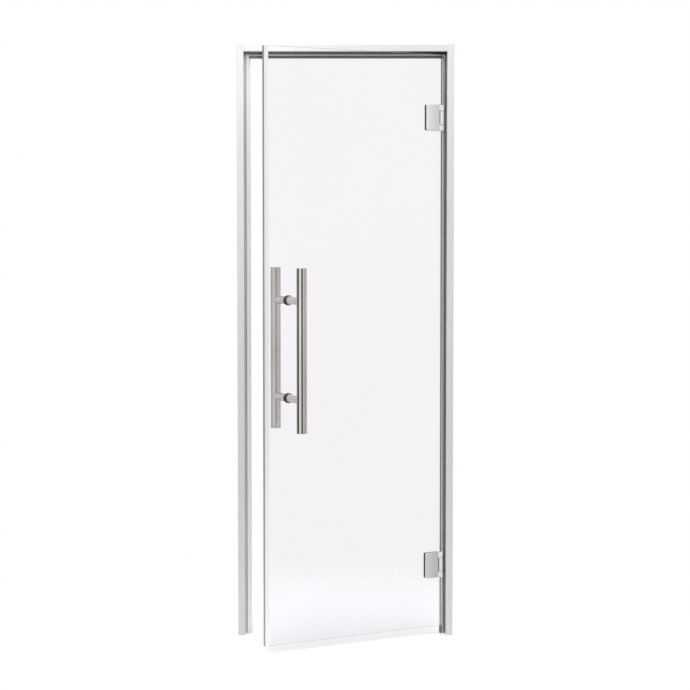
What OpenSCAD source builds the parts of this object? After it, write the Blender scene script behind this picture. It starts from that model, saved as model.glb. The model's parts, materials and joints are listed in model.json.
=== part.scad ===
// Framed glass door. An aluminium frame runs round three sides, and a clear glass leaf
// hangs in it on two clamp hinges, with a long pull handle on each side of the glass.
// X runs across the door, Y from its front to its back, Z up. The origin is on the floor,
// midway between the jambs, in the plane of the frame's front face.
// Every leaf piece is drawn shut, about the hinge axis, and swung open by rest_angle.

/* [Frame] */
// Outside width of the frame
frame_w = 690; // [560:1:990]
// Outside height of the frame
frame_h = 1890; // [1500:1:2290]
// Depth of the frame, front to back
frame_d = 46; // [44:0.5:60]
// Width of the frame's front face
face_w = 22; // [18:0.5:30]
// How far the stop lip stands in beyond the face
stop_w = 20; // [19:0.5:26]
// Depth from the front face to the stop lip
rebate_d = 36; // [34:0.5:38]
// Wall of the hollow frame profile
wall = 2; // [1.5:0.1:2.4]
// Radius on the front edges of the profile
edge_r = 1; // [0.4:0.1:1.4]

/* [Leaf] */
// Angle that the leaf stands open at rest
rest_angle = 28; // [0:1:90]
// Glass thickness
glass_t = 8; // [6:0.1:10]
// Bevel ground on the long edges of the glass
arris = 0.8; // [0.3:0.1:1.5]
// Depth of the middle of the glass behind the frame's front face, when shut
leaf_y = 20; // [18:0.5:21]
// Gap under the leaf
floor_gap = 27; // [5:1:40]
// Gap between the leaf and the header's face
head_gap = 9; // [6:0.5:14]
// Gap between the leaf's free end and the strike jamb
strike_gap = 2; // [1.5:0.1:4]
// How far the glass reaches past the hinge axis
tail = 4; // [2:0.1:5]

/* [Hinges] */
// Distance from the hinge jamb's face edge to the hinge axis
pivot_gap = 18; // [17:0.5:22]
// Distance from the leaf's end to the middle of each hinge
hinge_inset = 200; // [120:1:400]
// Height of a hinge
hinge_h = 82; // [70:1:110]
// How far the clamp plates reach over the glass from the axis
plate_reach = 58; // [50:1:75]
// Thickness of a clamp plate
plate_t = 4.5; // [4:0.1:5.5]
// Corner radius of a clamp plate
plate_r = 5; // [1:0.5:10]
// Thickness of the pads between plate and glass
pad_t = 1; // [0.8:0.1:1.5]
// How far a pad's edges lie inside the plate's
pad_inset = 1; // [0.5:0.1:2]
// Hinge pin diameter
pin_d = 8; // [6:0.1:9.6]
// How far the pin ends lie inside the ends of the hinge
pin_inset = 1; // [0:0.1:3]
// Wall of a bush
bush_wall = 1; // [0.8:0.1:1.2]
// Thickness of a bush's flange
flange_t = 1; // [0.8:0.1:1.2]
// Distance between the two bushes of a hinge
bush_gap = 8; // [2:0.5:12]
// Height of the wall block's knuckle
eye_h = 43; // [34:1:52]
// How much smaller in radius the wall block's knuckle is than the leaf's
knuckle_step = 0.5; // [0.3:0.1:1]
// Thickness of the wall block's foot
foot_t = 4; // [3:0.1:5]
// Clamp screw diameter
clamp_d = 5; // [4:0.1:6]
// Head diameter of a clamp screw
clamp_head = 9; // [8:0.1:10]
// Distance of a clamp screw from the end of the hinge
clamp_inset = 16; // [12:0.5:20]
// Wall block screw diameter
foot_screw_d = 4; // [3:0.1:4.8]
// Head diameter of a wall block screw
foot_head = 7.5; // [7:0.1:8]
// Distance of a wall block screw from the end of the hinge
foot_screw_inset = 10; // [8:0.5:14]

/* [Handle] */
// Height of the handle's middle above the floor
handle_h = 938; // [700:1:1200]
// Length of a handle bar
bar_len = 500; // [380:1:900]
// Handle bar diameter
bar_d = 32; // [24:0.1:40]
// Wall of the handle bar tube
bar_wall = 1.5; // [1:0.1:2.5]
// Distance from the middle of the glass to the middle of a bar
bar_out = 92; // [60:1:120]
// Distance between the two posts
post_gap = 300; // [200:1:400]
// Post diameter
post_d = 24; // [20:0.1:30]
// Distance from the glass's free edge to the handle's holes
handle_edge = 81; // [50:1:120]
// Diameter of the holes in the glass
glass_hole_d = 12; // [10:0.1:16]
// Stud diameter
stud_d = 8; // [6:0.1:9.6]
// Diameter of the rubber washers
washer_d = 31; // [26:0.1:40]
// Thickness of the rubber washers
washer_t = 2; // [1:0.1:3]
// How far a stud runs into a post
stud_grip = 20; // [14:0.5:30]
// Width of the collar at a post's foot, beyond the post
collar_w = 1; // [0.5:0.1:2]
// Thickness of that collar
collar_t = 3; // [2:0.1:5]
// Diameter of the screws from the bars into the posts
bar_screw_d = 6; // [5:0.1:8]
// Head diameter of those screws
bar_head_d = 11; // [10:0.1:12]
// Head height of those screws
bar_head_t = 4; // [3:0.1:5]
// How far they run into a post
bar_screw_grip = 12; // [8:0.5:16]
// Grub screw diameter
grub_d = 5; // [4:0.1:6]
// Distance of a grub screw from the post's foot
grub_at = 10; // [7:0.5:14]
// How far a grub screw lies below the post's surface
grub_sunk = 0.5; // [0:0.1:1.5]
// Visible rim of a bar's end cap
cap_t = 1.5; // [1:0.1:4]
// Length of the cap inside the tube
cap_plug = 8; // [5:0.5:15]

/* [Seals] */
// Width of the legs of the seal on the glass edge
seal_leg = 14; // [12:0.5:18]
// Thickness of the front leg of that seal
seal_t = 1.5; // [1:0.1:2]
// Thickness of the rear leg, which holds a magnet
seal_back_t = 3.5; // [3:0.1:4.5]
// Width of the magnet strip on the strike jamb
strip_w = 9; // [8:0.5:10]
// Wall of the magnet strip
strip_wall = 0.8; // [0.6:0.1:1]
// Thickness of the magnet in the strip
strip_magnet_t = 3; // [2:0.1:3.4]
// How far the magnets lie inside the ends of their strips
magnet_inset = 1; // [0.5:0.5:20]
// Wall round the magnet in the leaf's seal
seal_wall = 0.7; // [0.5:0.1:0.9]
// Width of the corner gasket in the rebate
corner_w = 7; // [5:0.5:8]
// Width of the hollow stop gasket
bulb_w = 8; // [6:0.1:8.5]
// How far the stop gasket lies in from the lip's edge
bulb_inset = 1; // [0.5:0.1:2]
// Depth of the hollow stop gasket
bulb_d = 10; // [8:0.1:10.2]
// Wall of the hollow stop gasket
bulb_wall = 1; // [0.8:0.1:1.5]
// Width and depth of the groove that holds a seal's root
groove = 3; // [2:0.1:3.5]
// Wall between the stop gasket's groove and the lip's edge
lip_wall = 1.7; // [1.5:0.1:2]

/* [Fixings] */
// Height of the lowest wall fixing, and depth of the highest below the top
fixing_end = 150; // [80:1:170]
// Depth of the wall fixings behind the front face
fixing_y = 18; // [10:1:26]
// Diameter of the wall fixing holes
fixing_d = 6.5; // [4:0.1:8]
// Diameter of the corner screws
corner_screw_d = 5; // [4:0.1:6]
// Head diameter of the corner screws
corner_head_d = 9; // [8:0.1:10]
// Head height of the corner screws
corner_head_t = 3; // [2:0.1:4]
// Distance of the corner screws from the frame's front and back
corner_inset = 12.4; // [10:0.1:15]
// Length of the corner blocks
block_len = 24; // [18:1:40]
// Solid end of a corner block, past its screw holes
block_end = 3; // [2:0.5:6]

/* [Clearances] */
// Radial gap between the pin and a bush
run_fit = 0.05; // [0.03:0.01:0.09]
// Radial gap round a fixed pin or screw
hold_fit = 0.03; // [0.02:0.01:0.08]
// Gap between a soft piece and what it lies beside
soft_gap = 0.3; // [0.2:0.1:0.6]
// Gap between turning faces of a hinge
turn_gap = 0.3; // [0.2:0.1:0.5]
// Gap between the leaf's seal and the magnet strip when shut
magnet_gap = 0.5; // [0.3:0.1:1]
// Gap between the barrel and the flat plate behind the glass
barrel_gap = 1; // [0.5:0.1:1.5]
// Gap behind the wall block's knuckle in the leaf's notch
notch_gap = 2; // [1.5:0.1:3]
// Gap between the cut-outs in the glass and the hinges
cutout_gap = 1; // [0.5:0.1:1.5]
// Radial gap between a boss and its hole in the glass
boss_gap = 0.5; // [0.3:0.1:1]
// Gap between a wall block's foot and the gasket beside it
foot_gap = 0.5; // [0.3:0.1:0.8]
// Gap between a corner block and the header's walls
block_fit = 0.2; // [0.1:0.05:0.4]
// Gap between a magnet or a seal's root and its pocket
pocket_fit = 0.1; // [0.05:0.05:0.2]
// Gap between a screw's tip and the bottom of its hole
tip_gap = 1; // [0.5:0.1:2]
// Radial gap round the head of a corner screw
head_gap_r = 1; // [0.5:0.1:1.5]

/* [Hidden] */
$fn = 64;
cut = 1;                                    // how far a cutting shape runs past a face

stop_end = face_w + stop_w;                 // inner edge of the stop lip, from outside
header_z = frame_h - face_w;                // underside of the header's face
stop_top = frame_h - stop_end;              // underside of the header's stop lip
lip_floor = rebate_d + groove + wall;       // front of the hollow in the stop lip
bulb_at = stop_end - bulb_inset - bulb_w / 2;  // middle of the stop gasket, from outside
bulb_root = stop_end - lip_wall - groove / 2;  // middle of its root, from outside
strip_at = face_w + corner_w + strip_w / 2; // middle of the magnet strip, from outside
strip_face = leaf_y + glass_t / 2 + seal_back_t + magnet_gap;  // front of the magnet strip

pivot_x = frame_w / 2 - face_w - pivot_gap;
glass_end = frame_w - 2 * face_w - pivot_gap - strike_gap - seal_t;  // axis to free edge
leaf_top = header_z - head_gap;
glass_h = leaf_top - floor_gap;
upper_z = leaf_top - hinge_inset;
lower_z = floor_gap + hinge_inset;
pad_y = glass_t / 2 + pad_t;                // outside of a pad, from the glass's middle
barrel_r = pad_y + plate_t;                 // the barrel is flush with the plates
eye_r = barrel_r - knuckle_step;
bush_r = pin_d / 2 + run_fit + bush_wall;
notch_half = eye_h / 2 + flange_t + turn_gap;
notch_in = barrel_r + notch_gap;            // depth of the notch round the knuckle
plate_in = barrel_r + barrel_gap;           // where the rear plate starts, from the axis
clamp_x = -(plate_reach + plate_in) / 2;
clamp_dz = hinge_h / 2 - clamp_inset;       // clamp screws above and below the middle
boss_r = glass_hole_d / 2 - boss_gap;       // threaded boss of the front plate
foot_face = rebate_d - leaf_y - foot_t;     // front of the foot, from the axis
foot_in = frame_w / 2 - stop_end + foot_gap - pivot_x;  // foot's edges, from the axis
foot_out = pivot_gap - corner_w - foot_gap;
foot_screw_x = foot_out - foot_screw_d - foot_gap;
foot_screw_dz = hinge_h / 2 - foot_screw_inset;

handle_x = -(glass_end - handle_edge);
post_zs = [handle_h + post_gap / 2, handle_h - post_gap / 2];
post_foot = glass_t / 2 + washer_t;         // where a post starts, from the glass's middle
grub_y = post_foot + grub_at;               // grub screw, from the glass's middle

fixing_step = (frame_h - 2 * fixing_end) / 3;
fixing_zs = [for (i = [0:3]) fixing_end + i * fixing_step];
corner_ys = [corner_inset, frame_d - corner_inset];
corner_z = frame_h - face_w / 2;

alu = [0.80, 0.80, 0.80];
chrome = [0.86, 0.87, 0.86];
steel = [0.62, 0.60, 0.58];
black = [0.12, 0.12, 0.13];
milky = [0.86, 0.87, 0.87];

// ---- helpers ----

// Shapes drawn from the outside edge inward are put on the strike jamb's side.
module on_strike_side() {
    translate([-frame_w / 2, 0, 0]) children();
}

module on_hinge_side() {
    mirror([1, 0, 0]) on_strike_side() children();
}

// The same, on the header: length runs along X, and inward is down.
module along_header(len) {
    translate([-len / 2, 0, frame_h]) rotate([0, 90, 0]) linear_extrude(len) children();
}

// Fixed hinge pieces, drawn about the axis at the middle of a hinge.
module on_jamb(z) {
    translate([pivot_x, leaf_y, z]) children();
}

// Leaf pieces, drawn shut about the hinge axis, with the free edge towards -X.
module on_leaf() {
    translate([pivot_x, leaf_y, 0]) rotate([0, 0, rest_angle]) children();
}

// A cylinder along Y, from y0 to y1.
module rod_y(r, y0, y1) {
    translate([0, y0, 0]) rotate([-90, 0, 0]) cylinder(h = y1 - y0, r = r);
}

// A cylinder along X, from x0 to x1.
module rod_x(r, x0, x1) {
    translate([x0, 0, 0]) rotate([0, 90, 0]) cylinder(h = x1 - x0, r = r);
}

// A countersunk screw along -Y, with the flat of its head at y = 0.
module countersunk(d, head_d, len) {
    cone = (head_d - d) / 2;
    translate([0, -cone, 0]) rotate([-90, 0, 0]) cylinder(h = cone, r1 = d / 2, r2 = head_d / 2);
    rod_y(d / 2, -len, -cone);
}

// The hole for it, open past the flat of the head.
module countersink(d, head_d, len) {
    cone = (head_d - d) / 2;
    rod_y(d / 2 + hold_fit, -len - cut, cut);
    translate([0, -cone, 0]) rotate([-90, 0, 0])
        cylinder(h = cone + hold_fit, r1 = d / 2 + hold_fit, r2 = head_d / 2 + 2 * hold_fit);
    rod_y(head_d / 2 + 2 * hold_fit, 0, cut);
}

// What is left of a square corner when it is rounded.
module corner_cut(r) {
    difference() {
        translate([-cut, -cut]) square(r + cut);
        translate([r, r]) circle(r);
    }
}

// ---- frame ----

// Profile of the frame, X inward from the outside edge and Y back from the front.
module frame_section(root) {
    difference() {
        polygon([
            [0, 0], [face_w, 0], [face_w, rebate_d], [stop_end, rebate_d],
            [stop_end, frame_d], [0, frame_d]
        ]);
        translate([wall, wall]) square([face_w - 2 * wall, frame_d - 2 * wall]);
        translate([face_w, lip_floor]) square([stop_w - wall, frame_d - wall - lip_floor]);
        translate([root - groove / 2, rebate_d - cut]) square([groove, groove + cut]);
        corner_cut(edge_r);
        translate([face_w, 0]) mirror([1, 0]) corner_cut(edge_r);
    }
}

module jamb(root) {
    difference() {
        linear_extrude(frame_h) frame_section(root);
        translate([face_w, rebate_d - cut, header_z])
            cube([stop_w + cut, frame_d - rebate_d + 2 * cut, face_w + cut]);
        for (z = fixing_zs) translate([0, fixing_y, z]) rod_x(fixing_d / 2, -cut, face_w + cut);
        for (y = corner_ys) translate([0, y, corner_z]) {
            rod_x(corner_head_d / 2 + head_gap_r, -cut, wall + cut);
            rod_x(corner_screw_d / 2 + hold_fit, wall + cut, face_w + cut);
        }
    }
}

module strike_jamb() {
    color(alu) on_strike_side() jamb(strip_at);
}

module hinge_jamb() {
    color(alu) difference() {
        on_hinge_side() jamb(bulb_root);
        for (z = [upper_z, lower_z], s = [-1, 1]) on_jamb(z)
            translate([foot_screw_x, 0, s * foot_screw_dz])
                rod_y(foot_screw_d / 2 + hold_fit, foot_face, lip_floor - leaf_y + cut);
    }
}

module header() {
    clear_w = frame_w - 2 * face_w;
    lip_end = frame_w / 2 - stop_end;
    color(alu) difference() {
        along_header(clear_w) frame_section(bulb_root);
        for (s = [0, 1]) mirror([s, 0, 0])
            translate([lip_end, rebate_d - cut, stop_top - cut])
                cube([stop_w + cut, frame_d - rebate_d + 2 * cut, stop_w + cut]);
    }
}

module corner_block() {
    inset = wall + block_fit;
    translate([face_w, 0, 0]) difference() {
        translate([0, inset, header_z + inset])
            cube([block_len, frame_d - 2 * inset, face_w - 2 * inset]);
        for (y = corner_ys) translate([0, y, corner_z])
            rod_x(corner_screw_d / 2 + hold_fit, -cut, block_len - block_end);
    }
}

module strike_corner_block() {
    color(steel) on_strike_side() corner_block();
}

module hinge_corner_block() {
    color(steel) on_hinge_side() corner_block();
}

// Each screw is reached through the jamb's outer wall and pulls its inner wall to the header.
module corner_screw_pair() {
    for (y = corner_ys) translate([face_w - wall, y, corner_z]) {
        rod_x(corner_head_d / 2, -corner_head_t, 0);
        rod_x(corner_screw_d / 2, 0, wall + block_len - block_end - tip_gap);
    }
}

module corner_screws() {
    color(steel) {
        on_strike_side() corner_screw_pair();
        on_hinge_side() corner_screw_pair();
    }
}

// ---- seals in the frame ----

// Quarter-round strip in the corner between face and stop lip.
module corner_section() {
    intersection() {
        translate([face_w, rebate_d]) circle(corner_w);
        translate([face_w, rebate_d - corner_w]) square(corner_w);
    }
}

module corner_strip() {
    linear_extrude(header_z - corner_w) corner_section();
}

module strike_corner_gasket() {
    color(black) on_strike_side() corner_strip();
}

module hinge_corner_gasket() {
    color(black) on_hinge_side() corner_strip();
}

module header_corner_gasket() {
    color(black) along_header(frame_w - 2 * face_w) corner_section();
}

// Hollow gasket that the glass closes against.
module bulb_section() {
    r = bulb_w / 2;
    dome = rebate_d - bulb_d + r;
    hollow = r - bulb_wall;
    difference() {
        union() {
            translate([bulb_at, dome]) circle(r);
            translate([bulb_at - r, dome]) square([bulb_w, rebate_d - dome]);
        }
        translate([bulb_at, dome]) circle(hollow);
        translate([bulb_at - hollow, dome]) square([2 * hollow, rebate_d - bulb_wall - dome]);
    }
}

// Its root, in the lip's groove.
module bulb_root_section() {
    root_w = groove - 2 * pocket_fit;
    translate([bulb_root - root_w / 2, rebate_d - bulb_wall])
        square([root_w, root_w + bulb_wall]);
}

module hinge_stop_gasket() {
    color(black) difference() {
        on_hinge_side() {
            linear_extrude(frame_h - (bulb_at - bulb_w / 2)) bulb_section();
            linear_extrude(stop_top) bulb_root_section();
        }
        for (z = [upper_z, lower_z])
            translate([0, rebate_d - bulb_d - cut, z - hinge_h / 2 - soft_gap])
                cube([frame_w / 2, bulb_d + groove + 2 * cut, hinge_h + 2 * soft_gap]);
    }
}

module header_stop_gasket() {
    from = -(frame_w / 2 - face_w - corner_w - strip_w - soft_gap);
    to = frame_w / 2 - bulb_at - bulb_w / 2 - soft_gap;
    color(black) {
        translate([from, 0, frame_h]) rotate([0, 90, 0]) linear_extrude(to - from) bulb_section();
        along_header(frame_w - 2 * stop_end) bulb_root_section();
    }
}

// Light strip that meets the leaf's seal. A magnet lies behind its front wall.
module strike_strip() {
    left = strip_at - strip_w / 2;
    depth = rebate_d - strip_face;
    inside = strip_w - 2 * strip_wall;
    core = strip_face + 2 * strip_wall + strip_magnet_t;
    root_w = groove - 2 * pocket_fit;
    color(milky) on_strike_side() linear_extrude(header_z - corner_w) {
        difference() {
            translate([left, strip_face]) square([strip_w, depth]);
            translate([left + strip_wall, strip_face + strip_wall])
                square([inside, strip_magnet_t]);
            translate([left + strip_wall, core]) square([inside, rebate_d - strip_wall - core]);
        }
        translate([strip_at - root_w / 2, rebate_d - strip_wall])
            square([root_w, root_w + strip_wall]);
    }
}

module strike_magnet() {
    w = strip_w - 2 * strip_wall - 2 * pocket_fit;
    front = strip_face + strip_wall + pocket_fit;
    color(black) on_strike_side() translate([strip_at - w / 2, front, magnet_inset])
        cube([w, strip_magnet_t - 2 * pocket_fit, header_z - corner_w - 2 * magnet_inset]);
}

// ---- hinge pieces on the jamb ----

module wall_block(z) {
    color(chrome) on_jamb(z) difference() {
        union() {
            cylinder(h = eye_h, r = eye_r, center = true);
            translate([foot_in, 0, -eye_h / 2])
                cube([eye_r - foot_in, foot_face + cut, eye_h]);
            translate([foot_in, foot_face, -hinge_h / 2])
                cube([foot_out - foot_in, foot_t, hinge_h]);
        }
        cylinder(h = eye_h + 2 * cut, r = bush_r + hold_fit, center = true);
        for (s = [-1, 1]) translate([foot_screw_x, foot_face, s * foot_screw_dz])
            mirror([0, 1, 0]) countersink(foot_screw_d, foot_head, foot_t);
    }
}

module upper_hinge_wall_block() {
    wall_block(upper_z);
}

module lower_hinge_wall_block() {
    wall_block(lower_z);
}

module bushes(z) {
    len = (eye_h - bush_gap) / 2;
    color(black) on_jamb(z) for (s = [0, 1]) mirror([0, 0, s]) difference() {
        union() {
            translate([0, 0, eye_h / 2 - len]) cylinder(h = len, r = bush_r);
            translate([0, 0, eye_h / 2]) cylinder(h = flange_t, r = eye_r - knuckle_step);
        }
        cylinder(h = eye_h, r = pin_d / 2 + run_fit);
    }
}

module upper_hinge_bushes() {
    bushes(upper_z);
}

module lower_hinge_bushes() {
    bushes(lower_z);
}

module wall_screws(z) {
    color(steel) on_jamb(z) for (s = [-1, 1])
        translate([foot_screw_x, foot_face, s * foot_screw_dz])
            mirror([0, 1, 0]) countersunk(foot_screw_d, foot_head, foot_t + groove + wall);
}

module upper_hinge_wall_screws() {
    wall_screws(upper_z);
}

module lower_hinge_wall_screws() {
    wall_screws(lower_z);
}

// ---- leaf ----

module glass_section() {
    w = glass_end + tail;
    t = glass_t / 2;
    translate([-glass_end, 0]) polygon([
        [0, -t + arris], [arris, -t], [w - arris, -t], [w, -t + arris],
        [w, t - arris], [w - arris, t], [arris, t], [0, t - arris]
    ]);
}

module glass_pane() {
    gap = cutout_gap;
    color([0.90, 0.94, 0.95, 0.35]) on_leaf() difference() {
        translate([0, 0, floor_gap]) linear_extrude(glass_h) glass_section();
        for (z = [upper_z, lower_z]) {
            translate([-plate_in - gap, -glass_t, z - hinge_h / 2 - gap])
                cube([plate_in + gap + tail + cut, 2 * glass_t, hinge_h + 2 * gap]);
            for (s = [-1, 1]) translate([clamp_x, 0, z + s * clamp_dz])
                rod_y(glass_hole_d / 2, -glass_t, glass_t);
        }
        for (z = post_zs) translate([handle_x, 0, z])
            rod_y(glass_hole_d / 2, -glass_t, glass_t);
    }
}

// Channel pushed over the glass's free edge. The thick rear leg holds a magnet.
module edge_seal() {
    end = glass_end + seal_t;
    front = glass_t / 2 + seal_t;
    back = glass_t / 2 + seal_back_t;
    color(milky) on_leaf() translate([-end, 0, floor_gap]) linear_extrude(glass_h) difference() {
        translate([0, -front]) square([seal_leg, front + back]);
        translate([seal_t, -glass_t / 2]) square([seal_leg, glass_t]);
        translate([seal_t, glass_t / 2 + seal_wall])
            square([seal_leg - seal_t - seal_wall, seal_back_t - 2 * seal_wall]);
    }
}

module edge_magnet() {
    w = seal_leg - seal_t - seal_wall - 2 * pocket_fit;
    t = seal_back_t - 2 * seal_wall - 2 * pocket_fit;
    color(black) on_leaf() translate([
        -glass_end + pocket_fit, glass_t / 2 + seal_wall + pocket_fit, floor_gap + magnet_inset
    ]) cube([w, t, glass_h - 2 * magnet_inset]);
}

// ---- hinge pieces on the leaf ----

// Outline of a clamp plate in front view, square at the axis end and rounded at the other.
module plate_outline(from) {
    h = hinge_h;
    translate([-plate_reach + plate_r, -h / 2]) square([plate_reach - plate_r - from, h]);
    translate([-plate_reach, -h / 2 + plate_r]) square([plate_r + cut, h - 2 * plate_r]);
    for (s = [-1, 1]) translate([-plate_reach + plate_r, s * (h / 2 - plate_r)])
        circle(plate_r);
}

// A flat piece of that outline, from y0 to y1.
module plate(from, y0, y1) {
    translate([0, y1, 0]) rotate([90, 0, 0]) linear_extrude(y1 - y0) plate_outline(from);
}

// One casting: the plate, two knuckles and the threaded bosses that pass through the glass.
module front_plate(z) {
    color(chrome) on_leaf() translate([0, 0, z]) difference() {
        union() {
            plate(0, -barrel_r, -pad_y);
            cylinder(h = hinge_h, r = barrel_r, center = true);
            for (s = [-1, 1]) translate([clamp_x, 0, s * clamp_dz])
                rod_y(boss_r, -pad_y - cut, glass_t / 2);
        }
        cylinder(h = hinge_h + 2 * cut, r = pin_d / 2 + hold_fit, center = true);
        translate([-notch_in, -barrel_r - cut, -notch_half])
            cube([notch_in + barrel_r + cut, 2 * barrel_r + 2 * cut, 2 * notch_half]);
        for (s = [-1, 1]) translate([clamp_x, 0, s * clamp_dz])
            rod_y(clamp_d / 2 + hold_fit, -pad_y, glass_t);
    }
}

module upper_hinge_front_plate() {
    front_plate(upper_z);
}

module lower_hinge_front_plate() {
    front_plate(lower_z);
}

module rear_plate(z) {
    color(chrome) on_leaf() translate([0, 0, z]) difference() {
        plate(plate_in, pad_y, barrel_r);
        for (s = [-1, 1]) translate([clamp_x, barrel_r, s * clamp_dz])
            countersink(clamp_d, clamp_head, plate_t);
    }
}

module upper_hinge_rear_plate() {
    rear_plate(upper_z);
}

module lower_hinge_rear_plate() {
    rear_plate(lower_z);
}

module pad(z, y0, y1) {
    inset = pad_inset;
    color(black) on_leaf() translate([0, 0, z]) difference() {
        intersection() {
            plate(plate_in + inset, y0, y1);
            translate([-plate_reach + inset, y0 - cut, -hinge_h / 2 + inset])
                cube([plate_reach, y1 - y0 + 2 * cut, hinge_h - 2 * inset]);
        }
        for (s = [-1, 1]) translate([clamp_x, 0, s * clamp_dz])
            rod_y(glass_hole_d / 2, y0 - cut, y1 + cut);
    }
}

module upper_hinge_front_pad() {
    pad(upper_z, -pad_y, -glass_t / 2);
}

module lower_hinge_front_pad() {
    pad(lower_z, -pad_y, -glass_t / 2);
}

module upper_hinge_rear_pad() {
    pad(upper_z, glass_t / 2, pad_y);
}

module lower_hinge_rear_pad() {
    pad(lower_z, glass_t / 2, pad_y);
}

module clamp_screws(z) {
    color(steel) on_leaf() for (s = [-1, 1]) translate([clamp_x, barrel_r, z + s * clamp_dz])
        countersunk(clamp_d, clamp_head, barrel_r + pad_y - tip_gap);
}

module upper_hinge_clamp_screws() {
    clamp_screws(upper_z);
}

module lower_hinge_clamp_screws() {
    clamp_screws(lower_z);
}

module hinge_pin(z) {
    color(steel) on_leaf() translate([0, 0, z])
        cylinder(h = hinge_h - 2 * pin_inset, r = pin_d / 2, center = true);
}

module upper_hinge_pin() {
    hinge_pin(upper_z);
}

module lower_hinge_pin() {
    hinge_pin(lower_z);
}

// ---- handle ----

// side is -1 for the outer half of the handle and 1 for the inner half.
module handle_half(side) {
    on_leaf() translate([handle_x, 0, 0]) on_side(side) children();
}

// Handle pieces are drawn on the outer side, towards -Y.
module on_side(side) {
    if (side < 0) children();
    else mirror([0, 1, 0]) children();
}

module bar(side) {
    color(steel) handle_half(side) difference() {
        translate([0, -bar_out, handle_h])
            cylinder(h = bar_len - 2 * cap_t, r = bar_d / 2, center = true);
        translate([0, -bar_out, handle_h])
            cylinder(h = bar_len, r = bar_d / 2 - bar_wall, center = true);
        for (z = post_zs) translate([0, 0, z])
            rod_y(bar_screw_d / 2 + hold_fit, -bar_out, -bar_out + bar_d / 2 + cut);
    }
}

module outer_bar() {
    bar(-1);
}

module inner_bar() {
    bar(1);
}

module bar_caps(side) {
    color(steel) handle_half(side) translate([0, -bar_out, handle_h])
        for (s = [0, 1]) mirror([0, 0, s]) translate([0, 0, bar_len / 2 - cap_t]) {
            cylinder(h = cap_t, r = bar_d / 2);
            translate([0, 0, -cap_plug])
                cylinder(h = cap_plug + cut / 2, r = bar_d / 2 - bar_wall - hold_fit);
        }
}

module outer_bar_caps() {
    bar_caps(-1);
}

module inner_bar_caps() {
    bar_caps(1);
}

module post(side, z) {
    bar_hole_end = -bar_out + bar_d / 2 + bar_screw_grip + tip_gap;
    foot_r = post_d / 2 + collar_w;
    color(steel) handle_half(side) translate([0, 0, z]) difference() {
        union() {
            rod_y(post_d / 2, -bar_out, -post_foot);
            rod_y(foot_r, -post_foot - collar_t, -post_foot);
        }
        translate([0, -bar_out, 0]) cylinder(h = bar_d * 2, r = bar_d / 2, center = true);
        rod_y(stud_d / 2 + hold_fit, -post_foot - stud_grip - tip_gap, -post_foot + cut);
        rod_y(bar_screw_d / 2 + hold_fit, -bar_out, bar_hole_end);
        translate([0, -grub_y, -post_d]) cylinder(h = post_d, r = grub_d / 2 + hold_fit);
    }
}

module outer_upper_post() {
    post(-1, post_zs[0]);
}

module outer_lower_post() {
    post(-1, post_zs[1]);
}

module inner_upper_post() {
    post(1, post_zs[0]);
}

module inner_lower_post() {
    post(1, post_zs[1]);
}

module washers(side) {
    color(black) handle_half(side) for (z = post_zs) translate([0, 0, z]) difference() {
        rod_y(washer_d / 2, -post_foot, -glass_t / 2);
        rod_y(stud_d / 2 + hold_fit, -post_foot - cut, 0);
    }
}

module outer_washers() {
    washers(-1);
}

module inner_washers() {
    washers(1);
}

module glass_sleeves() {
    color(milky) on_leaf() for (z = post_zs) translate([handle_x, 0, z]) difference() {
        rod_y(glass_hole_d / 2 - hold_fit, -glass_t / 2, glass_t / 2);
        rod_y(stud_d / 2 + hold_fit, -glass_t, glass_t);
    }
}

module handle_studs() {
    color(steel) on_leaf() for (z = post_zs) translate([handle_x, 0, z])
        rod_y(stud_d / 2, -post_foot - stud_grip, post_foot + stud_grip);
}

// Screws from inside each tube into its posts.
module bar_screws() {
    seat = sqrt(pow(bar_d / 2 - bar_wall, 2) - pow(bar_head_d / 2 + hold_fit, 2));
    color(steel) for (side = [-1, 1]) handle_half(side) for (z = post_zs)
        translate([0, -bar_out, z]) {
            rod_y(bar_screw_d / 2, seat - cut, bar_d / 2 + bar_screw_grip);
            rod_y(bar_head_d / 2, seat - bar_head_t, seat);
        }
}

module post_grub_screws() {
    color(steel) for (side = [-1, 1]) handle_half(side) for (z = post_zs)
        translate([0, -grub_y, z - post_d / 2 + grub_sunk])
            cylinder(h = (post_d - stud_d) / 2 - grub_sunk - hold_fit, r = grub_d / 2);
}

// ---- drawing ----

strike_jamb();
hinge_jamb();
header();
strike_corner_block();
hinge_corner_block();
corner_screws();
strike_corner_gasket();
hinge_corner_gasket();
header_corner_gasket();
hinge_stop_gasket();
header_stop_gasket();
strike_strip();
strike_magnet();
upper_hinge_wall_block();
lower_hinge_wall_block();
upper_hinge_bushes();
lower_hinge_bushes();
upper_hinge_wall_screws();
lower_hinge_wall_screws();
glass_pane();
edge_seal();
edge_magnet();
upper_hinge_front_plate();
lower_hinge_front_plate();
upper_hinge_rear_plate();
lower_hinge_rear_plate();
upper_hinge_front_pad();
lower_hinge_front_pad();
upper_hinge_rear_pad();
lower_hinge_rear_pad();
upper_hinge_clamp_screws();
lower_hinge_clamp_screws();
upper_hinge_pin();
lower_hinge_pin();
outer_bar();
inner_bar();
outer_bar_caps();
inner_bar_caps();
outer_upper_post();
outer_lower_post();
inner_upper_post();
inner_lower_post();
outer_washers();
inner_washers();
glass_sleeves();
handle_studs();
bar_screws();
post_grub_screws();
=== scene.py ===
import json
import math

import bmesh
import bpy
from mathutils import Matrix, Vector


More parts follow.
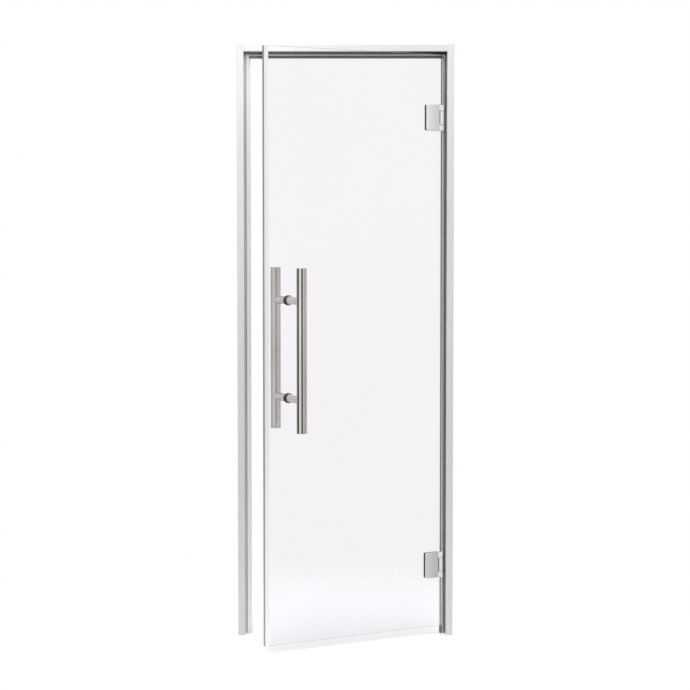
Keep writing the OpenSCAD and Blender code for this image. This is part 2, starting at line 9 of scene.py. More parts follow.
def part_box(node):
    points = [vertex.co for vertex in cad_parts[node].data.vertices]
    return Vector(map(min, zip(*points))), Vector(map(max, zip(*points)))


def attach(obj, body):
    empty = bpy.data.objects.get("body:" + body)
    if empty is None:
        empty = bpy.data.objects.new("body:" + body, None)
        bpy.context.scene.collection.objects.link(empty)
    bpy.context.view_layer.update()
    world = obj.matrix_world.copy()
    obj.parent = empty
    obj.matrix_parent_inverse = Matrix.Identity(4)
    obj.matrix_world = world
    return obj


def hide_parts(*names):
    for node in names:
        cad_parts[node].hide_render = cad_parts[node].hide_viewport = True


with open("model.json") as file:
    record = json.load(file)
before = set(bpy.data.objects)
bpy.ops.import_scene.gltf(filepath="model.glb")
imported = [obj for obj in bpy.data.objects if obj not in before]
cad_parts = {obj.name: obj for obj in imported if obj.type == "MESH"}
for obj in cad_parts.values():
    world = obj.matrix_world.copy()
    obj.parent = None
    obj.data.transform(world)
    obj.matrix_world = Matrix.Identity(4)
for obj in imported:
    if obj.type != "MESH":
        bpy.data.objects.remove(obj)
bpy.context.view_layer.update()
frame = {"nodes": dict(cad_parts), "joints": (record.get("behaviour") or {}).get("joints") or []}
bpy.ops.object.select_all(action="DESELECT")
print("frame loaded:", len(frame["nodes"]), "nodes")

# the leaf is modelled shut about its hinge axis, then swung to where it stands at rest
swing = frame["joints"][0]
leafTurn = Matrix.Translation(swing["pos_m"]) @ Matrix.Rotation(
    math.radians(-swing["range_deg"][0]), 4, "Z"
)
up = (0, 0, 0)  # how a rod is turned
alongY = (math.pi / 2, 0, 0)
micro = 0.00002  # two places nearer than this count as one
sides = {"bar": 128, "round": 96, "boss": 64, "bore": 48, "socket": 6}
noiseSpan = (0.3, 0.7)  # where nearly all of a noise's values lie
cadMerge = {"weld": 0.000005, "flat": 0.4}


# nodes that several materials share

def newMaterial(name, **settings):
    material = bpy.data.materials.new(name)
    material.use_nodes = True
    tree = material.node_tree
    shader = tree.nodes["Principled BSDF"]
    for label, value in settings.items():
        shader.inputs[label.replace("_", " ")].default_value = value
    return material, tree, shader


def mathNode(tree, operation, first=None, second=None):
    node = tree.nodes.new("ShaderNodeMath")
    node.operation = operation
    for place, value in enumerate((first, second)):
        if isinstance(value, bpy.types.NodeSocket):
            tree.links.new(value, node.inputs[place])
        elif value is not None:
            node.inputs[place].default_value = value
    return node.outputs["Value"]


def rangeNode(tree, value, fromPair, toPair, smooth=False):
    node = tree.nodes.new("ShaderNodeMapRange")
    if smooth:
        node.interpolation_type = "SMOOTHSTEP"
    for label, number in zip(("From Min", "From Max", "To Min", "To Max"), (*fromPair, *toPair)):
        node.inputs[label].default_value = number
    tree.links.new(value, node.inputs["Value"])
    return node.outputs["Result"]


def mixColours(tree, factor, first, second):
    mixer = tree.nodes.new("ShaderNodeMix")
    mixer.data_type = "RGBA"
    mixer.inputs["A"].default_value = (*first, 1)
    mixer.inputs["B"].default_value = (*second, 1)
    tree.links.new(factor, mixer.inputs["Factor"])
    return mixer.outputs["Result"]


def noiseOn(tree, scale, detail=3):
    place = tree.nodes.new("ShaderNodeTexCoord")
    stretch = tree.nodes.new("ShaderNodeMapping")
    noise = tree.nodes.new("ShaderNodeTexNoise")
    stretch.inputs["Scale"].default_value = scale
    noise.inputs["Scale"].default_value = 1
    noise.inputs["Detail"].default_value = detail
    tree.links.new(place.outputs["Object"], stretch.inputs["Vector"])
    tree.links.new(stretch.outputs["Vector"], noise.inputs["Vector"])
    return noise.outputs["Fac"]


def spread(tree, noise, low, high):
    return rangeNode(tree, noise, noiseSpan, (low, high))


def addBump(tree, shader, noise, height):
    bump = tree.nodes.new("ShaderNodeBump")
    bump.inputs["Strength"].default_value = 1
    bump.inputs["Distance"].default_value = height
    tree.links.new(noise, bump.inputs["Height"])
    tree.links.new(bump.outputs["Normal"], shader.inputs["Normal"])


# painted light and shade: a colour that fades from one tone to another along X
def paintedLightAlongX(tree, fromX, toX, start, end):
    place = tree.nodes.new("ShaderNodeTexCoord")
    split = tree.nodes.new("ShaderNodeSeparateXYZ")
    tree.links.new(place.outputs["Object"], split.inputs["Vector"])
    return mixColours(tree, rangeNode(tree, split.outputs["X"], (fromX, toX), (0, 1), True), start, end)


def grainedMaterial(name, look, **settings):
    # a fine grain in gloss and bump, over clouds of colour or a painted fade of light from one colour to
    # another
    material, tree, shader = newMaterial(name, **settings)
    grain = noiseOn(tree, look["grain"])
    if "fade" in look:
        colour = paintedLightAlongX(tree, *look["fade"])
    else:
        clouds = spread(tree, noiseOn(tree, look["clouds"], 2), 0, 1)
        colour = mixColours(tree, clouds, look["dark"], look["light"])
    tree.links.new(colour, shader.inputs["Base Color"])
    tree.links.new(spread(tree, grain, *look["rough"]), shader.inputs["Roughness"])
    addBump(tree, shader, grain, look["height"])
    return material


# what several pieces need in modelling

def choose(piece):
    bpy.ops.object.select_all(action="DESELECT")
    piece.select_set(True)
    bpy.context.view_layer.objects.active = piece


def startPiece(name):
    piece = bpy.context.object
    piece.name = name
    piece.data.name = name
    bpy.ops.object.transform_apply(location=True, rotation=True, scale=True)
    return piece


def addRod(name, radius, low, high, turn=up, count=sides["round"], at=(0, 0, 0)):
    half = (low + high) / 2
    middle = Vector(at) + Vector((0, half, 0) if turn == alongY else (0, 0, half))
    bpy.ops.mesh.primitive_cylinder_add(
        vertices=count, radius=radius, depth=high - low, location=middle, rotation=turn
    )
    return startPiece(name)


def addBlock(name, low, high):
    low, high = Vector(low), Vector(high)
    bpy.ops.mesh.primitive_cube_add(size=1, location=(low + high) / 2, scale=high - low)
    return startPiece(name)


def openEdit(piece):
    choose(piece)
    bpy.ops.object.mode_set(mode="EDIT")


def closeEdit():
    bpy.ops.object.mode_set(mode="OBJECT")


def pick(piece, kind, test):
    bpy.ops.mesh.select_mode(type=kind)
    bpy.ops.mesh.select_all(action="DESELECT")
    mesh = bmesh.from_edit_mesh(piece.data)
    items = {"VERT": mesh.verts, "EDGE": mesh.edges, "FACE": mesh.faces}[kind]
    for item in items:
        if test(item):
            item.select_set(True)
    mesh.select_flush_mode()
    bmesh.update_edit_mesh(piece.data)


def lyingAt(axis, place):
    return lambda item: all(abs(corner.co[axis] - place) < micro for corner in item.verts)


def acrossAt(x):
    # the edges at x that run from front to back
    flat = lyingAt(0, x)
    return lambda edge: flat(edge) and abs(edge.verts[0].co.y - edge.verts[1].co.y) > micro


def startOutline(name, radius, at, isOpen):
    # a circle without the stretch where isOpen says yes, left in edit mode
    bpy.ops.mesh.primitive_circle_add(
        vertices=sides["round"], radius=radius, fill_type="NOTHING", location=at
    )
    outline = startPiece(name)
    openEdit(outline)
    pick(outline, "VERT", isOpen)
    bpy.ops.mesh.delete(type="VERT")
    return outline


def outlineEnds(outline, axis):
    mesh = bmesh.from_edit_mesh(outline.data)
    ends = [corner.co.copy() for corner in mesh.verts if len(corner.link_edges) == 1]
    return sorted(ends, key=lambda place: place[axis])


def drawOn(outline, end, *moves):
    pick(outline, "VERT", lambda corner: (corner.co - end).length < micro)
    for move in moves:
        bpy.ops.mesh.extrude_region_move(TRANSFORM_OT_translate={"value": move})


def raiseOutline(outline, isLastSide, height):
    # the last side joins the ends, then the outline is filled and drawn up
    pick(outline, "VERT", isLastSide)
    bpy.ops.mesh.edge_face_add()
    bpy.ops.mesh.select_all(action="SELECT")
    bpy.ops.mesh.edge_face_add()
    bpy.ops.mesh.extrude_region_move(TRANSFORM_OT_translate={"value": (0, 0, height)})
    bpy.ops.mesh.select_all(action="SELECT")
    bpy.ops.mesh.normals_make_consistent(inside=False)


def applyModifier(piece, kind, **settings):
    choose(piece)
    modifier = piece.modifiers.new(kind.title(), kind)
    for label, value in settings.items():
        setattr(modifier, label, value)
    bpy.ops.object.modifier_apply(modifier=modifier.name)


def combine(piece, other, operation="DIFFERENCE"):
    applyModifier(piece, "BOOLEAN", object=other, operation=operation, solver="EXACT")
    bpy.data.objects.remove(other)


def cutCone(piece, x, z, lowY, depth, lowR, highR):
    bpy.ops.mesh.primitive_cone_add(
        vertices=sides["boss"], radius1=lowR, radius2=highR, depth=depth,
        location=(x, lowY + depth / 2, z), rotation=(-math.pi / 2, 0, 0),
    )
    combine(piece, startPiece("sinkCutter"))


def softenEdges(piece, width, segments=2, angle=30):
    applyModifier(
        piece, "BEVEL", width=width, segments=segments, limit_method="ANGLE",
        angle_limit=math.radians(angle), use_clamp_overlap=True, miter_outer="MITER_ARC",
    )


def copyPiece(piece, name, move):
    twin = bpy.data.objects.new(name, piece.data.copy())
    bpy.context.scene.collection.objects.link(twin)
    twin.data.name = name
    twin.data.transform(move)
    return twin


def cadCopy(node, name):
    # the node's loose triangles are merged into whole faces
    piece = bpy.data.objects.new(name, frame["nodes"][node].data.copy())
    bpy.context.scene.collection.objects.link(piece)
    piece.data.name = name
    openEdit(piece)
    bpy.ops.mesh.customdata_custom_splitnormals_clear()
    bpy.ops.mesh.select_all(action="SELECT")
    bpy.ops.mesh.remove_doubles(threshold=cadMerge["weld"])
    bpy.ops.mesh.dissolve_limited(angle_limit=math.radians(cadMerge["flat"]))
    closeEdit()
    return piece


def addFinish(piece, finish, test):
    # a second finish, on the faces where test says yes
    piece.data.materials.append(finish)
    for face in piece.data.polygons:
        face.material_index = 1 if test(face) else 0


def finishPiece(piece, body, material, nodes=(), smooth=35):
    choose(piece)
    bpy.ops.object.shade_smooth_by_angle(angle=math.radians(smooth))
    applyModifier(piece, "WEIGHTED_NORMAL", keep_sharp=True)
    if not piece.data.materials:
        piece.data.materials.append(material)
    piece.data.materials[0] = material
    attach(piece, body)
    if nodes:
        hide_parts(*nodes)


def finishOnLeaf(piece, material, nodes=(), smooth=35):
    piece.data.transform(leafTurn)
    finishPiece(piece, "leaf", material, nodes, smooth)


def leafBox(node):
    # a node's box about the hinge axis, with the leaf shut
    corners = [leafTurn.inverted() @ corner.co for corner in frame["nodes"][node].data.vertices]
    low = Vector([min(corner[axis] for corner in corners) for axis in range(3)])
    high = Vector([max(corner[axis] for corner in corners) for axis in range(3)])
    return low, high


def pairIn(low, high):
    # middle x, radius and the two heights of a pair of round things, one above the other
    radius = (high.x - low.x) / 2
    return (low.x + high.x) / 2, radius, (low.z + radius, high.z - radius)


# aluminium of the frame
anodised = {
    "grain": (1400, 1400, 14), "clouds": (3, 3, 1.2), "height": 0.000006,
    "dark": (0.80, 0.795, 0.79), "light": (0.85, 0.85, 0.85), "rough": (0.36, 0.46),
}
levelGrain = {
    "grain": (14, 1400, 1400), "clouds": (1.2, 3, 3),
    "dark": (0.79, 0.79, 0.785), "light": (0.84, 0.84, 0.838),
}
# painted light: a paler tone for the shaded bottoms of the rebates
rebateLitTone = {"dark": (0.93, 0.93, 0.925), "light": (0.97, 0.97, 0.967)}
jambFinish = grainedMaterial("satin anodised aluminium, upright grain", anodised, Metallic=0.4)
headerFinish = grainedMaterial("satin anodised aluminium, level grain", anodised | levelGrain, Metallic=0.4)
rebatePaintedLightFinish = grainedMaterial("anodised aluminium, painted light in the rebates", anodised | rebateLitTone, Metallic=0.1)

# metal of the hinges
chromeFinish = grainedMaterial(
    "satin chrome",
    {"grain": (1600, 1600, 20), "clouds": (30, 30, 18), "height": 0.000004,
     "dark": (0.80, 0.82, 0.81), "light": (0.86, 0.87, 0.865), "rough": (0.20, 0.27)},
    Metallic=1.0,
)
# painted reflection: the plate's chrome is painted paler towards its free end and darker towards the barrel
plateSheenPaintedFinish = grainedMaterial(
    "satin chrome, painted reflection paler at the free end",
    {"grain": (1600, 1600, 20), "height": 0.000004, "rough": (0.18, 0.25),
     "fade": (0.252, 0.298, (0.97, 0.98, 0.975), (0.76, 0.78, 0.77))},
    Metallic=0.9,
)
knuckleFinish = grainedMaterial(
    "bead-blasted nickel",
    {"grain": (1200, 1200, 1200), "clouds": (40, 40, 25), "height": 0.000004,
     "dark": (0.90, 0.895, 0.885), "light": (0.95, 0.945, 0.935), "rough": (0.36, 0.44)},
    Metallic=0.35,
)
# painted shade: a dark finish for the clamp's side walls and the eye's left side, standing in for the shadow
# gap beside the knuckle
plateSideShadeFinish = grainedMaterial(
    "painted shade on the clamp sides and the eye",
    {"grain": (900, 900, 60), "clouds": (40, 40, 20), "height": 0.000006,
     "dark": (0.16, 0.165, 0.165), "light": (0.22, 0.225, 0.225), "rough": (0.35, 0.45)},
    Metallic=0.8,
)

# metal of the handle, and of the screws
barFinish = grainedMaterial(
    "ring-brushed stainless steel",
    {"grain": (16, 16, 2600), "clouds": (12, 12, 5), "height": 0.000003,
     "dark": (0.61, 0.565, 0.54), "light": (0.70, 0.66, 0.635), "rough": (0.08, 0.13)},
    Metallic=1.0,
)
postFinish = grainedMaterial(
    "turned stainless steel",
    {"grain": (900, 900, 900), "clouds": (20, 20, 20), "height": 0.000003,
     "dark": (0.74, 0.70, 0.675), "light": (0.82, 0.785, 0.76), "rough": (0.14, 0.20)},
    Metallic=1.0,
)
screwFinish = grainedMaterial(
    "zinc-plated steel",
    {"grain": (700, 700, 700), "clouds": (90, 90, 90), "height": 0.00001,
     "dark": (0.44, 0.44, 0.44), "light": (0.56, 0.56, 0.55), "rough": (0.28, 0.42)},
    Metallic=1.0,
)

# rubber, plastic and magnets
rubber = {"grain": (900, 900, 240), "clouds": (40, 40, 2.5), "height": 0.00002, "rough": (0.42, 0.58)}
blackTone = {"dark": (0.022, 0.021, 0.023), "light": (0.036, 0.035, 0.038)}
# painted light: the jamb gaskets are black rubber, given lighter tones that stand in for the light in their
# rebates, palest on the strike side
hingeLitTone = {"dark": (0.14, 0.132, 0.128), "light": (0.20, 0.19, 0.185)}
strikeLitTone = {"dark": (0.64, 0.625, 0.605), "light": (0.74, 0.725, 0.705)}
# painted light on the header's black rubber: grey at the strike end, fading to black along X
headLitEndTone = {
    "grain": (240, 900, 900),
    "fade": (-0.295, -0.25, (0.24, 0.235, 0.23), (0.022, 0.021, 0.023)),
}
blackRubber = grainedMaterial("black rubber", rubber | blackTone)
hingeRubberPaintedLight = grainedMaterial("black rubber, painted lighter in the hinge rebate", rubber | hingeLitTone)
strikeRubberPaintedLight = grainedMaterial("black rubber, painted light grey in the strike rebate", rubber | strikeLitTone)
headRubberPaintedLight = grainedMaterial("black rubber, painted light at the strike end", rubber | headLitEndTone)
nylonFinish = grainedMaterial(
    "black nylon",
    {"grain": (500, 500, 500), "clouds": (60, 60, 60), "height": 0.00001,
     "dark": (0.016, 0.016, 0.017), "light": (0.024, 0.024, 0.025), "rough": (0.34, 0.44)},
)
magnetFinish = grainedMaterial(
    "rubber-bound magnet",
    {"grain": (600, 600, 300), "clouds": (50, 50, 20), "height": 0.00001,
     "dark": (0.05, 0.045, 0.042), "light": (0.075, 0.07, 0.066), "rough": (0.5, 0.62)},
)
milky = {
    "grain": (500, 500, 40), "clouds": (25, 25, 1.6), "height": 0.00001,
    "dark": (0.83, 0.82, 0.81), "light": (0.90, 0.895, 0.885), "rough": (0.34, 0.46),
}
# painted light: a paler milky tone for the strike strip, which sits in the rebate's shade
stripLitTone = {"dark": (0.92, 0.915, 0.905), "light": (0.96, 0.955, 0.95), "rough": (0.30, 0.42)}
# painted shade: a darker milky tone for the seal's end wall
sealEndShadeTone = {"dark": (0.33, 0.325, 0.315), "light": (0.42, 0.415, 0.405), "rough": (0.30, 0.40)}
sealFinish = grainedMaterial("milky soft plastic", milky)
stripPaintedLightFinish = grainedMaterial("milky plastic, painted light in the strike rebate", milky | stripLitTone)
sealEndShadeFinish = grainedMaterial("milky soft plastic, painted shade on the end wall", milky | sealEndShadeTone)

# very faint waviness of toughened glass, in colour and in gloss
glassWaves = {"scale": (2.4, 2.4, 1.7), "dimmest": 0.985, "roughest": 1.5}


def clearGlass(name, tone, rough):
    material, tree, shader = newMaterial(name, Transmission_Weight=1.0, IOR=1.5, Metallic=0.0)
    waves = noiseOn(tree, glassWaves["scale"], 1)
    dimmed = [share * glassWaves["dimmest"] for share in tone]
    colour = mixColours(tree, spread(tree, waves, 0, 1), dimmed, tone)
    tree.links.new(colour, shader.inputs["Base Color"])
    gloss = spread(tree, waves, rough, rough * glassWaves["roughest"])
    tree.links.new(gloss, shader.inputs["Roughness"])
    return material


glassFinish = clearGlass("clear glass", (0.925, 0.92, 0.95), 0.0)
glassEdgeFinish = clearGlass("ground glass edge", (0.70, 0.80, 0.77), 0.12)
print("finishes made")


# the glass, with its notches and holes
paneShape = {"arris": 0.0008, "cornerR": 0.006, "holeR": 0.006, "cutGap": 0.001, "smooth": 20,
             "facing": 0.99}


def holeCutters(node, low, high):
    x, _, heights = pairIn(*leafBox(node))
    return [addRod("holeCutter", paneShape["holeR"], low.y * 2, high.y * 2, alongY, sides["bore"], (x, 0, z))
            for z in heights]


def notchCutter(plateNode, low, high):
    gap = paneShape["cutGap"]
    plateLow, plateHigh = leafBox(plateNode)
    inner = plateHigh.x - gap
    notch = addBlock(
        "notchCutter",
        (inner, low.y * 2, plateLow.z - gap),
        (high.x * 3, high.y * 2, plateHigh.z + gap),
    )
    openEdit(notch)
    pick(notch, "EDGE", acrossAt(inner))
    bpy.ops.mesh.bevel(offset=paneShape["cornerR"], segments=6)
    closeEdit()
    return notch


def makePane():
    low, high = leafBox("glass_pane")
    pane = addBlock("glass_sheet", low, high)
    cutters = []
    for hinge in ("upper", "lower"):
        cutters.append(notchCutter(hinge + "_hinge_rear_plate", low, high))
        cutters += holeCutters(hinge + "_hinge_clamp_screws", low, high)
    cutters += holeCutters("handle_studs", low, high)
    for cutter in cutters:
        combine(pane, cutter)
    softenEdges(pane, paneShape["arris"], 1)
    # everything but the two broad faces has the ground finish
    pane.data.materials.append(glassFinish)
    addFinish(pane, glassEdgeFinish, lambda face: abs(face.normal.y) <= paneShape["facing"])
    finishOnLeaf(pane, glassFinish, ["glass_pane"], paneShape["smooth"])


makePane()
print("glass pane made")


# frame members and seals keep their CAD shapes, with softened edges
refined = [
    # node, new piece, body, slot, finish, edge width
    ("strike_jamb", "strike_jamb_profile", "frame", "frame_aluminium", jambFinish, 0.0004),
    ("hinge_jamb", "hinge_jamb_profile", "frame", "frame_aluminium", jambFinish, 0.0004),
    ("header", "header_profile", "frame", "frame_aluminium", headerFinish, 0.0004),
    ("strike_corner_gasket", "strike_corner_seal", "frame", "black_rubber", strikeRubberPaintedLight, 0.0005),
    ("hinge_corner_gasket", "hinge_corner_seal", "frame", "black_rubber", hingeRubberPaintedLight, 0.0005),
    ("header_corner_gasket", "header_corner_seal", "frame", "black_rubber", headRubberPaintedLight, 0.0005),
    ("hinge_stop_gasket", "hinge_stop_seal", "frame", "black_rubber", hingeRubberPaintedLight, 0.0003),
    ("header_stop_gasket", "header_stop_seal", "frame", "black_rubber", headRubberPaintedLight, 0.0003),
    ("strike_strip", "strike_strip_profile", "frame", "milky_seal", stripPaintedLightFinish, 0.0003),
    ("edge_seal", "edge_seal_profile", "leaf", "milky_seal", sealFinish, 0.0004),
]
rebate = {"behind": 0.005, "facing": 0.9}
sealEnd = {"facing": 0.95}

for node, name, body, slot, finish, width in refined:
    piece = cadCopy(node, name)
    softenEdges(piece, width)
    finishPiece(piece, body, finish, [node])
    print("refined", name, len(piece.data.polygons), "faces")

# the bottom of each jamb's rebate has a paler finish: painted light that lifts the rebate's shade
for name in ("strike_jamb_profile", "hinge_jamb_profile"):
    addFinish(
        bpy.data.objects[name], rebatePaintedLightFinish,
        lambda face: face.normal.y < -rebate["facing"] and face.center.y > rebate["behind"],
    )

# the seal's end wall, which looks away from the light, gets painted shade: a darker finish
towardsEnd = leafTurn.to_3x3() @ Vector((-1, 0, 0))
addFinish(
    bpy.data.objects["edge_seal_profile"], sealEndShadeFinish,
    lambda face: face.normal.dot(towardsEnd) > sealEnd["facing"],
)


# the hinges: the upper one's pieces are modelled and copied, those on the leaf with the leaf shut
hingeShape = {
    # the two clamp plates
    "cornerR": 0.005, "faceEdge": 0.0012, "edge": 0.0004, "edgeAngle": 40,
    "notchHalf": 0.0228, "notchDepth": 0.0115,
    # the pin and the clamp screws, with the bosses that they go into
    "pinR": 0.004, "clampShankR": 0.0025, "clampSinkR": 0.0026, "bossR": 0.0055, "bossSunk": 0.001,
    # the eye on the jamb's side, its foot and its screws
    "eyeR": 0.009, "eyeHalf": 0.0215, "eyeBoreR": 0.00508,
    "footWide": 0.012, "footSunk": 0.002, "wallShankR": 0.002,
    # the sockets in the screw heads
    "socketR": 0.0017, "socketDepth": 0.0018, "socketEdge": 0.0002,
    # room round a pin or a screw, and how far cutters run past what they cut
    "play": 0.00003, "sinkPast": 0.0002, "past": 0.001, "boreOver": 0.01, "openSlack": 0.0002,
    # painted shade: clamp faces that look front or back less than this, eye faces that look left more
    "clampSide": 0.3, "eyeSide": 0.3,
}


def softenCasting(piece):
    softenEdges(piece, hingeShape["edge"], 2, hingeShape["edgeAngle"])


def frontPlateBody(low, high, padFace, bottom, height):
    # in plan: the barrel's circle, opened at its lower left and run out to the free end
    def opened(corner):
        return corner.co.x < -micro and corner.co.y < padFace + hingeShape["openSlack"]

    plate = startOutline("frontPlateModel", high.x, (0, 0, bottom), opened)
    front, back = outlineEnds(plate, 1)
    meet = -math.sqrt(high.x ** 2 - padFace ** 2)
    drawOn(plate, front, (low.x - front.x, 0, 0))
    drawOn(plate, back, (meet - back.x, padFace - back.y, 0), (low.x - meet, 0, 0))
    raiseOutline(plate, lambda corner: abs(corner.co.x - low.x) < micro, height)
    # round corners at the free end, then a broad soft edge round the front face
    pick(plate, "EDGE", acrossAt(low.x))
    bpy.ops.mesh.bevel(offset=hingeShape["cornerR"], segments=8)
    inFront = lyingAt(1, low.y)
    atBarrel = lyingAt(0, 0)
    pick(plate, "EDGE", lambda edge: inFront(edge) and not atBarrel(edge)
         and all(corner.co.x < micro for corner in edge.verts))
    bpy.ops.mesh.bevel(offset=hingeShape["faceEdge"], segments=3)
    # a joint line at the notch lets plate and knuckles have a finish each
    bpy.ops.mesh.select_all(action="SELECT")
    bpy.ops.mesh.bisect(plane_co=(-hingeShape["notchDepth"], 0, 0), plane_no=(1, 0, 0))
    closeEdit()
    return plate


def makeFrontPlate():
    low, high = leafBox("upper_hinge_front_plate")
    padFace = leafBox("upper_hinge_front_pad")[0].y
    height = high.z - low.z
    middle = low.z + height / 2
    plate = frontPlateBody(low, high, padFace, low.z, height)
    notch = addBlock(
        "notchCutter",
        (-hingeShape["notchDepth"], -2 * high.x, middle - hingeShape["notchHalf"]),
        (2 * high.x, 2 * high.x, middle + hingeShape["notchHalf"]),
    )
    combine(plate, notch)
    pinR = hingeShape["pinR"] + hingeShape["play"]
    over = hingeShape["boreOver"]
    combine(plate, addRod("boreCutter", pinR, low.z - over, high.z + over, up, sides["bore"]))
    sunk = hingeShape["bossSunk"]
    threadR = hingeShape["clampShankR"] + hingeShape["play"]
    x, _, heights = pairIn(*leafBox("upper_hinge_clamp_screws"))
    for z in heights:
        boss = addRod("bossPart", hingeShape["bossR"], padFace - sunk, -padFace - sunk,
                      alongY, sides["boss"], (x, 0, z))
        combine(plate, boss, "UNION")
        combine(plate, addRod("holeCutter", threadR, padFace, over, alongY, sides["bore"], (x, 0, z)))
    softenCasting(plate)
    return plate


def makeRearPlate():
    low, high = leafBox("upper_hinge_rear_plate")
    plate = addBlock("rearPlateModel", low, high)
    openEdit(plate)
    pick(plate, "EDGE", acrossAt(low.x))
    bpy.ops.mesh.bevel(offset=hingeShape["cornerR"], segments=8)
    pick(plate, "EDGE", lyingAt(1, high.y))
    bpy.ops.mesh.bevel(offset=hingeShape["faceEdge"], segments=3)
    closeEdit()
    # the screw holes are countersunk from the outer face
    play = hingeShape["play"]
    past = hingeShape["sinkPast"]
    tipR = hingeShape["clampSinkR"]
    x, headR, heights = pairIn(*leafBox("upper_hinge_clamp_screws"))
    depth = headR - tipR + past
    for z in heights:
        cutCone(plate, x, z, high.y + past - depth, depth, tipR, headR + past + play)
        hole = addRod("holeCutter", hingeShape["clampShankR"] + play, low.y - 2 * hingeShape["past"],
                      high.y, alongY, sides["bore"], (x, 0, z))
        combine(plate, hole)
    softenCasting(plate)
    return plate


def makeWallBlock():
    # drawn where it stands on the frame, in plan: the eye's circle, opened at its far right
    low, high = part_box("upper_hinge_wall_block")
    screwLow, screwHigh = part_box("upper_hinge_wall_screws")
    axis = Vector(swing["pos_m"])
    middle = (low.z + high.z) / 2
    reach = hingeShape["eyeHalf"]
    radius = hingeShape["eyeR"]
    footIn = high.x - hingeShape["footWide"]
    footFace = screwLow.y
    back = footFace + hingeShape["footSunk"]

    def opened(corner):
        return corner.co.x > footIn - hingeShape["openSlack"] and corner.co.y > axis.y + micro

    eye = startOutline("wallBlockModel", radius, (axis.x, axis.y, middle - reach), opened)
    left, right = outlineEnds(eye, 0)
    meet = axis.y + math.sqrt(radius ** 2 - (footIn - axis.x) ** 2)
    drawOn(eye, left, (footIn - left.x, meet - left.y, 0), (0, back - meet, 0))
    drawOn(eye, right, (0, back - right.y, 0))
    raiseOutline(eye, lambda corner: abs(corner.co.y - back) < micro, 2 * reach)
    closeEdit()
    combine(eye, addBlock("footPart", (footIn, footFace, low.z), (high.x, high.y, high.z)), "UNION")
    bore = addRod("boreCutter", hingeShape["eyeBoreR"], low.z - reach, high.z + reach, up, sides["boss"],
                  (axis.x, axis.y, 0))
    combine(eye, bore)
    play = hingeShape["play"]
    past = hingeShape["past"]
    shankR = hingeShape["wallShankR"]
    x, headR, heights = pairIn(screwLow, screwHigh)
    for z in heights:
        cutCone(eye, x, z, footFace, headR - shankR, headR + 2 * play, shankR + play)
        hole = addRod("holeCutter", shankR + play, footFace - past, high.y + past, alongY, sides["bore"],
                      (x, 0, z))
        combine(eye, hole)
    softenCasting(eye)
    return eye


def makeSocketScrews(node, name, toLeaf, face, inward):
    # the countersunk screws, with a hexagonal socket sunk in each head
    screws = cadCopy(node, name)
    screws.data.transform(toLeaf.inverted())
    corners = [corner.co for corner in screws.data.vertices]
    left = min(corner.x for corner in corners)
    headR = (max(corner.x for corner in corners) - left) / 2
    flat = face(corner.y for corner in corners)
    inner = flat + inward * hingeShape["socketDepth"]
    outer = flat - inward * hingeShape["past"]
    ends = min(corner.z for corner in corners), max(corner.z for corner in corners)
    for z in (ends[0] + headR, ends[1] - headR):
        socket = addRod("socketCutter", hingeShape["socketR"], min(inner, outer), max(inner, outer),
                        alongY, sides["socket"], (left + headR, 0, z))
        combine(screws, socket)
    softenEdges(screws, hingeShape["socketEdge"], 2, hingeShape["edgeAngle"])
    return screws


def copyHinge(models, hinge, move):
    for name, body, node, slot, finish in (
        ("front_casting", "leaf", "front_plate", "hinge_chrome", plateSheenPaintedFinish),
        ("rear_clamp", "leaf", "rear_plate", "hinge_chrome", chromeFinish),
        ("jamb_knuckle", "frame", "wall_block", "hinge_chrome", knuckleFinish),
        ("socket_screws", "leaf", "clamp_screws", "fastener_steel", screwFinish),
        ("jamb_screws", "frame", "wall_screws", "fastener_steel", screwFinish),
    ):
        piece = copyPiece(models[name], f"{hinge}_hinge_{name}", move)
        if body == "leaf":
            finishOnLeaf(piece, finish, [f"{hinge}_hinge_{node}"])
        else:
            finishPiece(piece, body, finish, [f"{hinge}_hinge_{node}"])


hingeModels = {
    "front_casting": makeFrontPlate(),
    "rear_clamp": makeRearPlate(),
    "jamb_knuckle": makeWallBlock(),
    "socket_screws": makeSocketScrews(
        "upper_hinge_clamp_screws", "clampScrewModel", leafTurn, max, -1),
    "jamb_screws": makeSocketScrews(
        "upper_hinge_wall_screws", "wallScrewModel", Matrix(), min, 1),
}
for name, first, second, test in (
    # the knuckles next to the plate; painted shade on the side walls of the clamp and on the side of the eye
    # towards the glass
    ("front_casting", plateSheenPaintedFinish, knuckleFinish,
     lambda face: face.center.x > -hingeShape["notchDepth"] + micro),
    ("rear_clamp", chromeFinish, plateSideShadeFinish,
     lambda face: abs(face.normal.y) < hingeShape["clampSide"]),
    ("jamb_knuckle", knuckleFinish, plateSideShadeFinish,
     lambda face: face.normal.x < -hingeShape["eyeSide"]),
):
    hingeModels[name].data.materials.append(first)
    addFinish(hingeModels[name], second, test)
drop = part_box("upper_hinge_front_plate")[0].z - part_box("lower_hinge_front_plate")[0].z
copyHinge(hingeModels, "upper", Matrix())
copyHinge(hingeModels, "lower", Matrix.Translation((0, 0, -drop)))
for model in hingeModels.values():
    bpy.data.objects.remove(model)
print("hinges made")


# the handle: two bars back to back through the glass
handleShape = {
    # bars and their caps
    "tubeWall": 0.0015, "rim": 0.0006, "plugDeep": 0.008,
    # posts, with the saddle that sits against the bar
    "collarDeep": 0.003, "collarStep": 0.001, "edge": 0.0004, "saddlePlay": 0.00001, "saddleHalf": 0.04,
    # bores for the stud and the grub screw
    "studR": 0.004, "studDeep": 0.021, "grubR": 0.0025, "grubIn": 0.010, "grubDeep": 0.02,
    "play": 0.00003, "past": 0.001, "boreOver": 0.01,
    # washers
    "washerEdge": 0.0005,
}


